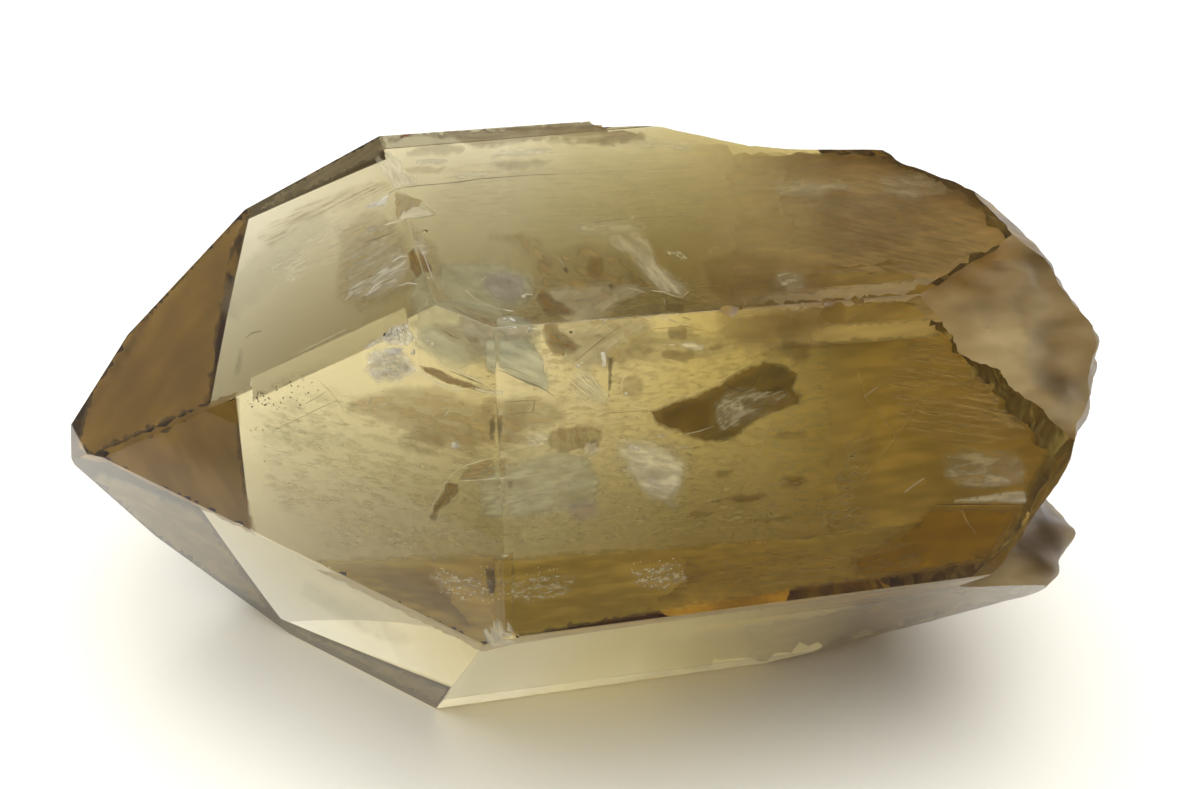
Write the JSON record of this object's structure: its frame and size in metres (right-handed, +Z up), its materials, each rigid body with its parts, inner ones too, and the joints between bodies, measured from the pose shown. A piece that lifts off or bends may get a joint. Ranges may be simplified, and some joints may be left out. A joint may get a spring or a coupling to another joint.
{
  "type": "crystal point",
  "caption": "Golden-brown smoky citrine quartz crystal point, six-sided, lying on a prism face with a worn tip and a rough broken base.",
  "frame": {"origin": "a point on the resting prism face, under the middle of the crystal's length", "axes": "+X along the crystal's long axis from the tip to the broken base, +Z up out of the resting face, -Y towards the front prism face"},
  "size_m": [0.0869, 0.0529, 0.0446],
  "materials": {
    "citrine": "clear golden-brown crystal, natural faces"
  },
  "bodies": {
    "root": {"crystal": "citrine"}
  },
  "joints": []
}
